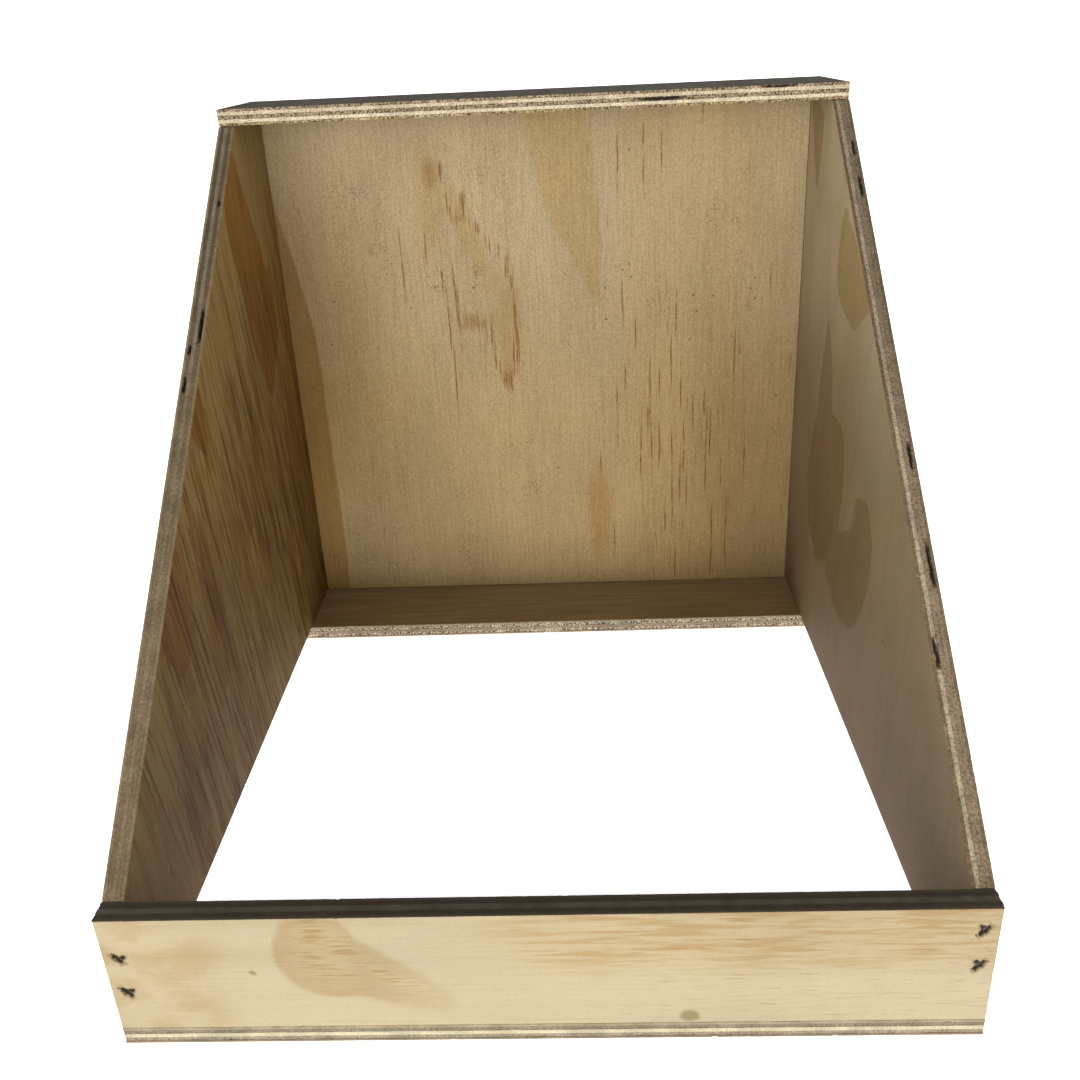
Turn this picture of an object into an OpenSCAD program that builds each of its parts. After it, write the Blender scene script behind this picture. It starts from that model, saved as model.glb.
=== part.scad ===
// Poultry nesting box: seven plywood boards held together by narrow-crown staples.
// Frame: X across the box, -Y is the lip side, +Z up. The origin is the middle of the
// footprint, on the surface that the box stands on.

/* [Box] */
// Width of the box, from one side's outer face to the other's
box_w = 350; // [280:1:450]
// Depth of the box, from the lip's front face to the rear edges
box_d = 350; // [280:1:450]
// Height of the box, from the underside to the top board's upper face
box_h = 350; // [280:1:450]

/* [Boards] */
// Thickness of the plywood, the same for every board
ply_t = 9; // [7:0.5:15]
// Front-to-back width of the top board
top_board_d = 66; // [50:1:110]
// Front-to-back width of the rear bottom board
rear_board_d = 66; // [50:1:110]
// Front-to-back width of the front bottom board
front_board_d = 52; // [45:1:90]
// Height of the lip board across the front
lip_h = 60; // [50:1:120]
// Gap behind the back panel, up to the rear edges of the sides
back_recess = 9; // [3:0.5:20]

/* [Staples] */
// Outside width of a staple's crown
crown_w = 5.7; // [4.5:0.1:7]
// Width of the flat staple wire
wire_w = 1.2; // [0.8:0.1:1.6]
// Thickness of the flat staple wire
wire_t = 1; // [0.6:0.1:1.2]
// Length of a staple's legs, crown included
leg_l = 25; // [19:1:30]
// Length of the chisel point on each leg
point_l = 1.6; // [0.8:0.1:2.5]
// Depth of a crown below the face of the board that it holds
crown_sink = 1; // [0.4:0.1:2.5]
// Slant of the lip's crowns, from the horizontal
lip_turn = 50; // [35:1:70]
// Slant of the other crowns, from the edge that they follow
row_turn = 10; // [0:1:20]
// Distance between the two staples at each end of the lip
lip_staple_gap = 18.5; // [14:0.5:24]
// How much higher the right-hand pair sits than the middle of the lip
right_pair_rise = 9; // [-9:0.5:9]
// Wood left between the lip's staple legs and the inner face of a side
leg_wall = 0.3; // [0.2:0.1:1]
// Distance from the box's ends to the outer staples of a long row
row_margin = 65; // [45:1:90]
// Distance from the ends of the back panel to the outer staples of a side's row
side_margin = 40; // [32:1:60]
// Distance from a rear strip's front edge to its first staple into a side
strip_margin = 12; // [8:1:20]
// Distance between the two staples that a rear strip has into each side
strip_staple_gap = 26; // [18:1:30]
// Staples in each long row, along the back panel or the lip
row_count = 3; // [2:1:5]
// Staples in each side's row, up the back panel
side_count = 4; // [2:1:6]

/* [Hidden] */

ply_color = [0.79, 0.69, 0.49];
side_color = [0.66, 0.56, 0.39];
lip_color = [0.86, 0.79, 0.60];
staple_color = [0.55, 0.55, 0.54];

front_y = -box_d / 2;                            // front face of the lip
rear_y = box_d / 2;                              // rear edges of the sides and strips
inner_x = box_w / 2 - ply_t;                     // inner face of a side
side_x = box_w / 2 - ply_t / 2;                  // middle of a side's thickness
side_top_z = box_h - ply_t;                      // top edge of the sides
panel_out_y = rear_y - back_recess;              // back panel, outer face
panel_in_y = panel_out_y - ply_t;                // back panel, inner face
panel_y = (panel_in_y + panel_out_y) / 2;        // middle of the back panel's thickness
lip_y = front_y + ply_t / 2;                     // middle of the lip's thickness
lip_staple_x = inner_x + leg_wall + wire_w / 2 + crown_w / 2 * cos(lip_turn);
front_staple_y = front_y + crown_sink + leg_l + crown_w;   // clear of the lip's legs
through = 1;                                     // how far a cut runs past a face

// Even spacing of count places from low to high
function places(low, high, count) = [for (k = [0 : count - 1]) low + k * (high - low) / (count - 1)];

// Slant of staple number k in a row: to one side, then to the other
function slant(k) = (k % 2 == 0) ? row_turn : -row_turn;

// One staple, driven towards -Z, with the outer face of its crown at z = 0
module staple() {
    half = crown_w / 2;
    inside = half - wire_t;
    rotate([90, 0, 0])
        linear_extrude(wire_w, center = true)
            polygon([[-half, 0], [half, 0], [half, -leg_l], [inside, point_l - leg_l], [inside, -wire_t],
                     [-inside, -wire_t], [-inside, point_l - leg_l], [-half, -leg_l]]);
}

// The wood that a staple pushes aside, with the dent that its driver leaves over the crown
module staple_path() {
    staple();
    translate([-crown_w / 2, -wire_w / 2, -wire_t])
        cube([crown_w, wire_w, wire_t + crown_sink + through]);
}

// Each module below puts its children at one joint's staples.

// Through the lip into the front ends of both sides
module at_lip_ends() {
    for (side = [-1, 1], k = [-1, 1]) {
        rise = side > 0 ? right_pair_rise : 0;
        translate([side * lip_staple_x, front_y + crown_sink,
                   ply_t + lip_h / 2 + rise + k * lip_staple_gap / 2])
            rotate([90, 0, 0]) rotate(side * lip_turn) children();
    }
}

// Along the back panel's edges, driven down through the top board
module at_top_row() {
    x = places(row_margin - box_w / 2, box_w / 2 - row_margin, row_count);
    for (k = [0 : row_count - 1])
        translate([x[k], panel_y, box_h - crown_sink]) rotate(slant(k)) children();
}

// Through the top board into the top edges of both sides
module at_top_ends() {
    for (side = [-1, 1], k = [0, 1])
        translate([side * side_x, rear_y - top_board_d + strip_margin + k * strip_staple_gap,
                   box_h - crown_sink])
            rotate(90 + slant(k)) children();
}

// Up through the rear bottom board into the back panel
module at_rear_row() {
    x = places(row_margin - box_w / 2, box_w / 2 - row_margin, row_count);
    for (k = [0 : row_count - 1])
        translate([x[k], panel_y, crown_sink]) rotate([180, 0, slant(k)]) children();
}

// Up through the rear bottom board into both sides
module at_rear_ends() {
    for (side = [-1, 1], k = [0, 1])
        translate([side * side_x, rear_y - rear_board_d + strip_margin + k * strip_staple_gap,
                   crown_sink])
            rotate([180, 0, 90 + slant(k)]) children();
}

// Up through the front bottom board into the lip
module at_front_row() {
    x = places(row_margin - box_w / 2, box_w / 2 - row_margin, row_count);
    for (k = [0 : row_count - 1])
        translate([x[k], lip_y, crown_sink]) rotate([180, 0, slant(k)]) children();
}

// Up through the front bottom board into both sides, behind the lip's staples
module at_front_ends() {
    for (side = [-1, 1])
        translate([side * side_x, front_staple_y, crown_sink])
            rotate([180, 0, 90 + side * row_turn]) children();
}

// Through one side (-1 left, 1 right) into the back panel
module at_side_row(side) {
    z = places(ply_t + side_margin, side_top_z - side_margin, side_count);
    for (k = [0 : side_count - 1])
        translate([side * (box_w / 2 - crown_sink), panel_y, z[k]])
            rotate([0, side * 90, 0]) rotate(slant(k)) children();
}

// Side panel: upright at the rear, sloping down to the lip at the front
module side_blank(side) {
    translate([side > 0 ? inner_x : -box_w / 2, 0, 0])
        rotate([90, 0, 90])
            linear_extrude(ply_t)
                polygon([[front_y + ply_t, ply_t], [rear_y, ply_t], [rear_y, side_top_z],
                         [rear_y - top_board_d, side_top_z], [front_y + ply_t, ply_t + lip_h]]);
}

module side_panel(side) {
    color(side_color)
        difference() {
            side_blank(side);
            at_lip_ends() staple_path();
            at_top_ends() staple_path();
            at_rear_ends() staple_path();
            at_front_ends() staple_path();
            at_side_row(side) staple_path();
        }
}

module left_side() {
    side_panel(-1);
}

module right_side() {
    side_panel(1);
}

module back_panel() {
    color(ply_color)
        difference() {
            translate([-inner_x, panel_in_y, ply_t])
                cube([2 * inner_x, ply_t, side_top_z - ply_t]);
            at_top_row() staple_path();
            at_rear_row() staple_path();
            at_side_row(-1) staple_path();
            at_side_row(1) staple_path();
        }
}

module top_board() {
    color(ply_color)
        difference() {
            translate([-box_w / 2, rear_y - top_board_d, side_top_z])
                cube([box_w, top_board_d, ply_t]);
            at_top_row() staple_path();
            at_top_ends() staple_path();
        }
}

module rear_bottom_board() {
    color(ply_color)
        difference() {
            translate([-box_w / 2, rear_y - rear_board_d, 0])
                cube([box_w, rear_board_d, ply_t]);
            at_rear_row() staple_path();
            at_rear_ends() staple_path();
        }
}

module front_bottom_board() {
    color(ply_color)
        difference() {
            translate([-box_w / 2, front_y, 0])
                cube([box_w, front_board_d, ply_t]);
            at_front_row() staple_path();
            at_front_ends() staple_path();
        }
}

module front_lip() {
    color(lip_color)
        difference() {
            translate([-box_w / 2, front_y, ply_t])
                cube([box_w, ply_t, lip_h]);
            at_lip_ends() staple_path();
            at_front_row() staple_path();
        }
}

module lip_staples() {
    color(staple_color) at_lip_ends() staple();
}

module top_board_staples() {
    color(staple_color) {
        at_top_row() staple();
        at_top_ends() staple();
    }
}

module rear_board_staples() {
    color(staple_color) {
        at_rear_row() staple();
        at_rear_ends() staple();
    }
}

module front_board_staples() {
    color(staple_color) {
        at_front_row() staple();
        at_front_ends() staple();
    }
}

module left_side_staples() {
    color(staple_color) at_side_row(-1) staple();
}

module right_side_staples() {
    color(staple_color) at_side_row(1) staple();
}

back_panel();
left_side();
right_side();
top_board();
rear_bottom_board();
front_bottom_board();
front_lip();
lip_staples();
top_board_staples();
rear_board_staples();
front_board_staples();
left_side_staples();
right_side_staples();
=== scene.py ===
import math
import bmesh
import bpy
from mathutils import Matrix, Vector, noise


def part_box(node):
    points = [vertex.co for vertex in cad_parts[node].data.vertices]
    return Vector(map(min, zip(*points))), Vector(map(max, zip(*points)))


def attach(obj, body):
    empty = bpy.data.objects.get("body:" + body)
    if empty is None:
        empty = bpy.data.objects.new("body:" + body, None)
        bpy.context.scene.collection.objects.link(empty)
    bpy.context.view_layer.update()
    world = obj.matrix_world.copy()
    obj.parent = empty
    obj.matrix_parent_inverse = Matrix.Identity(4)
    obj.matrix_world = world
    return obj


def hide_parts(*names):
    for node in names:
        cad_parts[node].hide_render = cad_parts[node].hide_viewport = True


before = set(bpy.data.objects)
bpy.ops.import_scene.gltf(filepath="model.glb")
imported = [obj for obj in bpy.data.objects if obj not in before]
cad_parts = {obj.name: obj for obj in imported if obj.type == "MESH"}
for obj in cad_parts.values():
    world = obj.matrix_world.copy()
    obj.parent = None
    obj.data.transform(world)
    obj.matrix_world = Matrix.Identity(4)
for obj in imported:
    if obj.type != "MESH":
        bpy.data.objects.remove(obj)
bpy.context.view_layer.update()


# The eye: a person stands close in front of the box and looks down into it over the lip.
# Its place is in metres, and the three directions are the eye's right, down and forward.
eye_place = Vector((0.020, -0.4454, 0.3833))
eye_right = Vector((0.9988, 0.0208, -0.0438))
eye_down = Vector((-0.0332, -0.366, -0.93))
eye_forward = Vector((-0.0353, 0.9304, -0.3649))
eye = bpy.data.objects.new("eye", bpy.data.cameras.new("eye"))
bpy.context.scene.collection.objects.link(eye)
turned = Matrix((eye_right, -eye_down, -eye_forward)).transposed()
eye.matrix_world = Matrix.LocRotScale(eye_place, turned.to_quaternion(), None)
eye.data.sensor_width = 36.0
eye.data.lens = 32.02
eye.data.shift_x = -0.002
eye.data.shift_y = -0.1232
bpy.context.scene.camera = eye
bpy.context.scene.view_settings.view_transform = "Standard"


# The floor is one sheet of pale studio paper that curves up into a low wall all round.
# It glows a little, so that it stays pale under the box and behind it.
paper_flat = 3.0
paper_curve = 1.6
paper_height = 4.5
paper_glow = 0.86
paper_dim = 0.06
paper_dim_from = -2.0
paper_dim_to = -0.5
sheet = bmesh.new()
reach = [sheet.verts.new(p) for p in ((0.0, 0.0, 0.0), (paper_flat, 0.0, 0.0))]
rim = [sheet.edges.new(reach)]
bend = bmesh.ops.spin(sheet, geom=[reach[1]], cent=(paper_flat, 0.0, paper_curve),
                      axis=(0.0, -1.0, 0.0), angle=math.radians(90), steps=12)
foot = [v for v in bend["geom_last"] if isinstance(v, bmesh.types.BMVert)][0]
sheet.edges.new((foot, sheet.verts.new((foot.co.x, 0.0, paper_height))))
bmesh.ops.spin(sheet, geom=sheet.verts[:] + sheet.edges[:], cent=(0.0, 0.0, 0.0),
               axis=(0.0, 0.0, 1.0), angle=math.radians(360), steps=64, use_merge=True)
bmesh.ops.remove_doubles(sheet, verts=sheet.verts, dist=0.0005)
bmesh.ops.recalc_face_normals(sheet, faces=sheet.faces)
paper_mesh = bpy.data.meshes.new("studio_paper")
sheet.to_mesh(paper_mesh)
sheet.free()
paper_mesh.polygons.foreach_set("use_smooth", [True] * len(paper_mesh.polygons))
paper_white = bpy.data.materials.new("studio_paper")
paper_white.use_nodes = True
paper_shade = paper_white.node_tree.nodes["Principled BSDF"]
paper_shade.inputs["Base Color"].default_value = (0.86, 0.86, 0.86, 1.0)
paper_shade.inputs["Roughness"].default_value = 0.9
paper_shade.inputs["Specular IOR Level"].default_value = 0.1
paper_shade.inputs["Emission Color"].default_value = (1.0, 1.0, 1.0, 1.0)
spot = paper_white.node_tree.nodes.new("ShaderNodeTexCoord")
across = paper_white.node_tree.nodes.new("ShaderNodeSeparateXYZ")
glow = paper_white.node_tree.nodes.new("ShaderNodeMapRange")
glow.interpolation_type = "SMOOTHSTEP"
for value, socket in zip((paper_dim_from, paper_dim_to, paper_dim, paper_glow), list(glow.inputs)[1:5]):
    socket.default_value = value
paper_white.node_tree.links.new(spot.outputs["Object"], across.inputs[0])
paper_white.node_tree.links.new(across.outputs["Y"], glow.inputs["Value"])
paper_white.node_tree.links.new(glow.outputs[0], paper_shade.inputs["Emission Strength"])
paper_mesh.materials.append(paper_white)
paper = bpy.data.objects.new("studio_paper", paper_mesh)
bpy.context.scene.collection.objects.link(paper)


# The lights: one broad soft lamp in front of the box, a weaker one high up behind it, and a dim sky.
# Sizes and places in metres, strengths in watts.
def soft_lamp(name, place, aim, width, height, watts):
    lamp = bpy.data.lights.new(name, "AREA")
    lamp.shape = "RECTANGLE"
    lamp.size = width
    lamp.size_y = height
    lamp.energy = watts
    holder = bpy.data.objects.new(name, lamp)
    bpy.context.scene.collection.objects.link(holder)
    holder.location = place
    holder.rotation_mode = "QUATERNION"
    holder.rotation_quaternion = (Vector(aim) - Vector(place)).to_track_quat("-Z", "Y")


soft_lamp("front_lamp", (-0.6, -2.3, 0.5), (0.0, 0.0, 0.2), 1.2, 0.9, 14.0)
soft_lamp("rear_lamp", (0.4, 2.2, 1.6), (0.0, 0.0, 0.15), 1.6, 1.2, 10.0)
sky = bpy.data.worlds.new("sky")
sky.use_nodes = True
sky.node_tree.nodes["Background"].inputs["Color"].default_value = (1.0, 1.0, 1.0, 1.0)
sky.node_tree.nodes["Background"].inputs["Strength"].default_value = 0.13
bpy.context.scene.world = sky


# The two side boards are 9 mm five-veneer plywood, sawn to a slope from the lip up to the top board.
# They are cut as rings of points up through the veneers, so that the sawn edge is rough where the
# saw crossed the fibres, with glue lines, chipped corners and open gaps. Lengths are millimetres.
MM = 0.001
VENEER_ENDS = (0.16, 0.38, 0.62, 0.84, 1.0)
GLUE_LINE = 0.09
CORNER_WEAR = 0.35


def ring_heights(thickness):
    """Heights of the rings of points up a sawn edge, each with its veneer, or -1 at a glue line."""
    rings = [(0.0, 0), (CORNER_WEAR, 0)]
    start = 0.0
    for number, share in enumerate(VENEER_ENDS):
        end = share * thickness
        if number > 0:
            rings.append((start + GLUE_LINE, number))
        rings.append(((start + end) / 2, number))
        if share < 1.0:
            rings += [(end - GLUE_LINE, number), (end, -1)]
        start = end
    rings += [(thickness - CORNER_WEAR, len(VENEER_ENDS) - 1), (thickness, len(VENEER_ENDS) - 1)]
    return rings


def fine_window(bm, centre, half_width, pitch):
    """Cuts a fine square mesh into a flat sheet round a staple."""
    steps = round(2 * half_width / pitch)
    order = [0, steps] + list(range(1, steps))
    for axis in (0, 1):
        for step in order:
            cut = Vector((centre[0], centre[1], 0.0))
            cut[axis] += step * pitch - half_width
            across = Vector((1.0 - axis, axis, 0.0))
            near = []
            for face in bm.faces:
                low = [min(v.co[i] for v in face.verts) for i in (0, 1)]
                high = [max(v.co[i] for v in face.verts) for i in (0, 1)]
                if all(low[i] < centre[i] + half_width - 0.01 and high[i] > centre[i] - half_width + 0.01
                       for i in (0, 1)):
                    near.append(face)
            edges = {e for f in near for e in f.edges}
            verts = {v for f in near for v in f.verts}
            bmesh.ops.bisect_plane(bm, geom=near + list(edges) + list(verts), dist=0.001,
                                   plane_co=cut, plane_no=across)


def sawn_board(name, outline, thickness, axes, origin, grain, pitch=2.0, staples=(), gaps=(), seed=0.0):
    """A board sawn from plywood. axes are the box's directions of the outline's two axes and of the
    thickness, origin is where its first face lies, and grain is the face fibres' direction in it.
    staples are (place, crown direction, side), and gaps are (from, to, veneer, depth)."""
    bm = bmesh.new()
    bm.faces.new([bm.verts.new((u, v, 0.0)) for u, v in outline])
    for edge in list(bm.edges):
        cuts = max(1, round(edge.calc_length() / pitch)) - 1
        bmesh.ops.subdivide_edges(bm, edges=[edge], cuts=cuts)
    for place, crown, side in staples:
        fine_window(bm, place, 4.8, 0.6)
    ply = bm.verts.layers.float.new("ply")
    end_grain = bm.verts.layers.float.new("end_grain")
    hollow = bm.verts.layers.float.new("hollow")
    torn = bm.verts.layers.float.new("torn")
    dent = bm.verts.layers.float.new("dent")
    burr = bm.verts.layers.float.new("burr")
    sheet_faces = bm.faces[:]
    height = 0.0
    first_face = sheet_faces
    for level, number in ring_heights(thickness)[1:]:
        lifted = bmesh.ops.extrude_face_region(bm, geom=sheet_faces)["geom"]
        if height > 0.0:
            bmesh.ops.delete(bm, geom=sheet_faces, context="FACES")
        sheet_faces = [g for g in lifted if isinstance(g, bmesh.types.BMFace)]
        risen = [g for g in lifted if isinstance(g, bmesh.types.BMVert)]
        bmesh.ops.translate(bm, verts=risen, vec=(0.0, 0.0, level - height))
        height = level
    sides = []
    for (u0, v0), (u1, v1) in zip(outline, outline[1:] + outline[:1]):
        run = Vector((u1 - u0, v1 - v0)).normalized()
        sides.append((Vector((u0, v0)), run, Vector((-run.y, run.x))))
    for face in bm.faces:
        face.material_index = 1
    for face in first_face + sheet_faces:
        face.material_index = 0
    veneers = {round(level, 3): number for level, number in ring_heights(thickness)}
    veneer_middle = [(a + b) / 2 for a, b in zip((0.0,) + VENEER_ENDS, VENEER_ENDS)]
    for vert in bm.verts:
        spot = Vector((vert.co.x, vert.co.y))
        touching = [(start, run, inward) for start, run, inward in sides
                    if abs((spot - start).dot(inward)) < 0.02]
        vert[ply] = vert.co.z / thickness
        here = Vector((vert.co.x, vert.co.y, vert.co.z)) + Vector((seed, 3.0 * seed, 0.0))
        if not touching:
            for place, crown, side in staples:
                if abs(vert.co.z - (thickness if side > 0 else 0.0)) > 0.01:
                    continue
                offset = spot - Vector(place)
                a = offset.dot(Vector(crown))
                b = offset.dot(Vector((-crown[1], crown[0])))
                ragged = 0.5 * noise.noise(here * 1.1) + 0.25 * noise.noise(here * 2.7)
                slit = max(abs(a) / 3.0, (abs(b) + 0.2 * abs(a)) / 1.45)
                tear = Vector(((a - 0.8) / 1.0, (b - 1.3) / 2.1)).length
                away = min(slit, tear) + ragged
                sunk = min(1.0, max(0.0, 2.2 * (1.12 - away)))
                lifted = max(0.0, 1.0 - abs(away - 1.3) / 0.35)
                if abs(a) < 4.6 and abs(b) < 4.6:
                    vert.co.z -= 1.25 * sunk * (1 if side > 0 else -1)
                    vert[dent] = max(vert[dent], sunk)
                    vert[burr] = max(vert[burr], lifted * (1.0 - sunk))
            continue
        run = touching[0][1]
        inward = sum((t[2] for t in touching), Vector((0.0, 0.0)))
        number = veneers[round(vert.co.z, 3)]
        fibres = Vector(grain) if number % 2 == 0 else Vector((-grain[1], grain[0]))
        crossed = 1.0 - abs(run.dot(fibres))
        fine = noise.noise(here * 0.9) + 0.5 * noise.noise(here * 2.3)
        if number < 0:
            push = 0.16 + 0.06 * fine
            vert[end_grain] = 0.5
        else:
            push = 0.06 + crossed * (0.10 + 0.30 * abs(fine))
            vert[end_grain] = crossed
        if vert.co.z < 0.01 or vert.co.z > thickness - 0.01:
            push += 0.30 + 0.12 * fine
        near_corner = vert.co.z < 1.6 or vert.co.z > thickness - 1.6
        chip = noise.noise(here * 0.11 + Vector((0.0, 0.0, 9.0 if vert.co.z > 4.0 else 0.0))) + 0.35 * fine
        if near_corner and chip > 0.6:
            vert[torn] = min(1.0, (chip - 0.6) * 5.0)
            push += 0.6 * vert[torn] * (0.6 + 0.4 * abs(fine))
        for low, high, veneer, depth in gaps:
            span = Vector(high) - Vector(low)
            along = (spot - Vector(low)).dot(span.normalized())
            off = abs((spot - Vector(low)).dot(Vector((-span.y, span.x)).normalized()))
            if veneer == number and off < 1.0 and 0.0 < along < span.length:
                middle = abs(vert.co.z / thickness - veneer_middle[number]) < 0.03
                taper = math.sin(math.pi * along / span.length) ** 0.5
                taper *= 1.0 if middle else max(0.0, 0.45 + 0.9 * noise.noise(here * 0.45))
                push += depth * taper
                vert[hollow] = max(vert[hollow], min(1.0, 1.1 * taper))
        vert.co.x += inward.x * push
        vert.co.y += inward.y * push
    place_in_box = Matrix((axes[0], axes[1], axes[2])).transposed().to_4x4()
    place_in_box.translation = origin
    bmesh.ops.transform(bm, matrix=Matrix.Scale(MM, 4) @ place_in_box, verts=bm.verts)
    bmesh.ops.recalc_face_normals(bm, faces=bm.faces)
    if bm.calc_volume(signed=True) < 0.0:
        bmesh.ops.reverse_faces(bm, faces=bm.faces)
    mesh = bpy.data.meshes.new(name)
    bm.to_mesh(mesh)
    bm.free()
    board = bpy.data.objects.new(name, mesh)
    bpy.context.scene.collection.objects.link(board)
    return board


def tone(red, green, blue):
    """A colour as a screen shows it, from 0 to 255, as the light that it sends back."""
    shares = [c / 255 for c in (red, green, blue)]
    return tuple(((c + 0.055) / 1.055) ** 2.4 if c > 0.04 else c / 12.92 for c in shares) + (1.0,)


class Finish:
    """One wood or metal finish, written out step by step. Lengths in it are millimetres of the box."""

    def __init__(self, name):
        self.material = bpy.data.materials.new(name)
        self.material.use_nodes = True
        self.tree = self.material.node_tree
        self.surface = self.tree.nodes["Principled BSDF"]
        metres = self.tree.nodes.new("ShaderNodeTexCoord").outputs["Object"]
        self.box = self.vector("MULTIPLY", metres, (1000.0, 1000.0, 1000.0))
        split = self.tree.nodes.new("ShaderNodeSeparateXYZ")
        self.tree.links.new(self.box, split.inputs[0])
        self.x, self.y, self.z = split.outputs

    def put(self, value, socket):
        if isinstance(value, bpy.types.NodeSocket):
            self.tree.links.new(value, socket)
        else:
            socket.default_value = value

    def vector(self, operation, first, second):
        node = self.tree.nodes.new("ShaderNodeVectorMath")
        node.operation = operation
        self.put(first, node.inputs[0])
        self.put(second, node.inputs[1])
        return node.outputs["Value" if operation in ("LENGTH", "DOT_PRODUCT") else "Vector"]

    def math(self, operation, first, second=0.0, third=0.0):
        node = self.tree.nodes.new("ShaderNodeMath")
        node.operation = operation
        for value, socket in zip((first, second, third), node.inputs):
            self.put(value, socket)
        return node.outputs[0]

    def join(self, across, along, through):
        node = self.tree.nodes.new("ShaderNodeCombineXYZ")
        for value, socket in zip((across, along, through), node.inputs):
            self.put(value, socket)
        return node.outputs[0]

    def noise(self, place, size, detail=2.0, shift=0.0):
        """Noise whose blobs are about size wide along the place's three axes."""
        node = self.tree.nodes.new("ShaderNodeTexNoise")
        node.inputs["Scale"].default_value = 1.0
        node.inputs["Detail"].default_value = detail
        scaled = self.vector("MULTIPLY", place, tuple(1.0 / s for s in size))
        self.put(self.vector("ADD", scaled, (shift, shift, shift)), node.inputs["Vector"])
        return node.outputs["Fac"]

    def step(self, value, low, high, start=0.0, end=1.0):
        """A smooth rise from start to end as value goes from low to high."""
        node = self.tree.nodes.new("ShaderNodeMapRange")
        node.interpolation_type = "SMOOTHSTEP"
        for setting, socket in zip((value, low, high, start, end), node.inputs):
            self.put(setting, socket)
        return node.outputs[0]

    def mix(self, share, first, second):
        node = self.tree.nodes.new("ShaderNodeMix")
        node.data_type = "RGBA"
        self.put(share, node.inputs["Factor"])
        self.put(first, node.inputs[6])
        self.put(second, node.inputs[7])
        return node.outputs[2]

    def shade(self, colour, amount):
        """The colour times a grey amount."""
        node = self.tree.nodes.new("ShaderNodeVectorMath")
        node.operation = "SCALE"
        self.put(colour if isinstance(colour, bpy.types.NodeSocket) else colour[:3], node.inputs[0])
        self.put(amount, node.inputs["Scale"])
        return node.outputs[0]

    def mark(self, name):
        """One of the marks that the saw and the staples left on the board."""
        node = self.tree.nodes.new("ShaderNodeAttribute")
        node.attribute_name = name
        return node.outputs["Fac"]

    def oval(self, place, centre, size, turn=0.0, edge=0.15, ragged=0.0, fibre=(6.0, 55.0)):
        """1 inside an oval on the face and 0 outside it, with a soft edge or one torn along the fibres."""
        node = self.tree.nodes.new("ShaderNodeMapping")
        node.vector_type = "TEXTURE"
        self.put(place, node.inputs["Vector"])
        node.inputs["Location"].default_value = (centre[0], centre[1], 0.0)
        node.inputs["Rotation"].default_value = (0.0, 0.0, math.radians(turn))
        node.inputs["Scale"].default_value = (size[0], size[1], 10000.0)
        away = self.vector("LENGTH", node.outputs[0], (0.0, 0.0, 0.0))
        if ragged:
            rough = self.noise(place, (fibre[0], fibre[1], 9.0), 3.0)
            away = self.math("ADD", away, self.math("MULTIPLY", self.math("SUBTRACT", rough, 0.5), ragged))
        return self.step(away, 1.0 + edge, 1.0 - edge)

    def outline(self, place, corners, edge=0.5, rounding=6.0, ragged=0.0, fibre=(6.0, 55.0)):
        """1 inside a rounded outline on the face, with no hollows in it, and 0 outside it."""
        around = list(zip(corners, corners[1:] + corners[:1]))
        if sum(u0 * v1 - u1 * v0 for (u0, v0), (u1, v1) in around) < 0.0:
            around = [(second, first) for first, second in around]
        away = None
        for (u0, v0), (u1, v1) in around:
            length = math.hypot(u1 - u0, v1 - v0)
            outward = ((v1 - v0) / length, (u0 - u1) / length, 0.0)
            beyond = self.math("SUBTRACT", self.vector("DOT_PRODUCT", place, outward),
                               u0 * outward[0] + v0 * outward[1])
            if away is None:
                away = beyond
            else:
                away = self.math("SMOOTH_MAX", away, beyond, rounding)
        if ragged:
            rough = self.noise(place, (fibre[0], fibre[1], 9.0), 3.0)
            away = self.math("ADD", away, self.math("MULTIPLY", self.math("SUBTRACT", rough, 0.5), ragged))
        return self.step(away, edge, -edge)

    def near(self, place, ovals, edge):
        """1 inside any of many upright ovals, each (across, up, half width, half height)."""
        split = self.tree.nodes.new("ShaderNodeSeparateXYZ")
        self.put(place, split.inputs[0])
        closest = 9.0
        for across, up, half_width, half_height in ovals:
            beside = self.math("MULTIPLY_ADD", split.outputs[0], 1 / half_width, -across / half_width)
            above = self.math("MULTIPLY_ADD", split.outputs[1], 1 / half_height, -up / half_height)
            away = self.math("MULTIPLY_ADD", beside, beside, self.math("MULTIPLY", above, above))
            closest = self.math("MINIMUM", away, closest)
        return self.step(closest, 1.0 + edge, 1.0 - edge)

    def pinholes(self, place, apart, wide):
        """Small round specks, wide across and about apart from one another."""
        node = self.tree.nodes.new("ShaderNodeTexVoronoi")
        node.inputs["Scale"].default_value = 1.0 / apart
        self.put(place, node.inputs["Vector"])
        return self.step(node.outputs["Distance"], wide / apart, 0.4 * wide / apart)

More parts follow.
